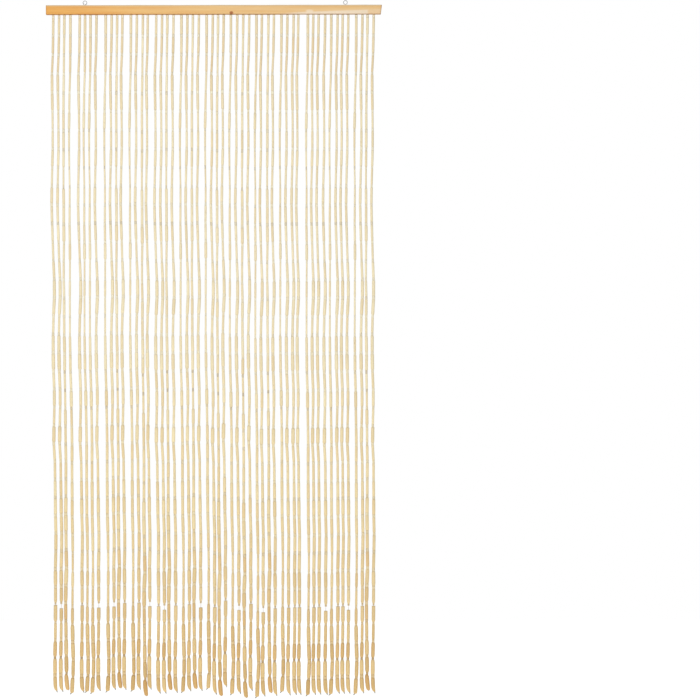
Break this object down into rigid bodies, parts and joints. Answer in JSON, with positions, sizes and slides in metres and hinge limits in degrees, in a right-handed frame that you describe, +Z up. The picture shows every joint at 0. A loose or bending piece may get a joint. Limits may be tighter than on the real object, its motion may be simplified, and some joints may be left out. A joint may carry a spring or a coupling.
{
  "type": "bamboo bead door curtain with rail",
  "caption": "Door curtain of bamboo tubes and beads threaded on strings that hang in groups from a wooden rail, which hooks carry by two screw eyes.",
  "frame": {"origin": "on the line between the centres of the two screw eyes' rings, where hooks carry the curtain, straight above the rail's middle", "axes": "+Z up, +X along the rail to the viewer's right, -Y to the front and +Y to the wall or lintel behind"},
  "size_m": [0.9, 0.014, 1.8687],
  "materials": {
    "rail_wood": "clear-lacquered softwood with fine lengthwise grain",
    "eye_wire": "zinc-plated wire",
    "bamboo": "natural polished bamboo cane",
    "bead": "pearly cream",
    "string": "thin undyed string"
  },
  "bodies": {
    "root": {"rail": "rail_wood", "screw_eye_left": "eye_wire", "screw_eye_right": "eye_wire", "strands": "bamboo"}
  },
  "joints": []
}
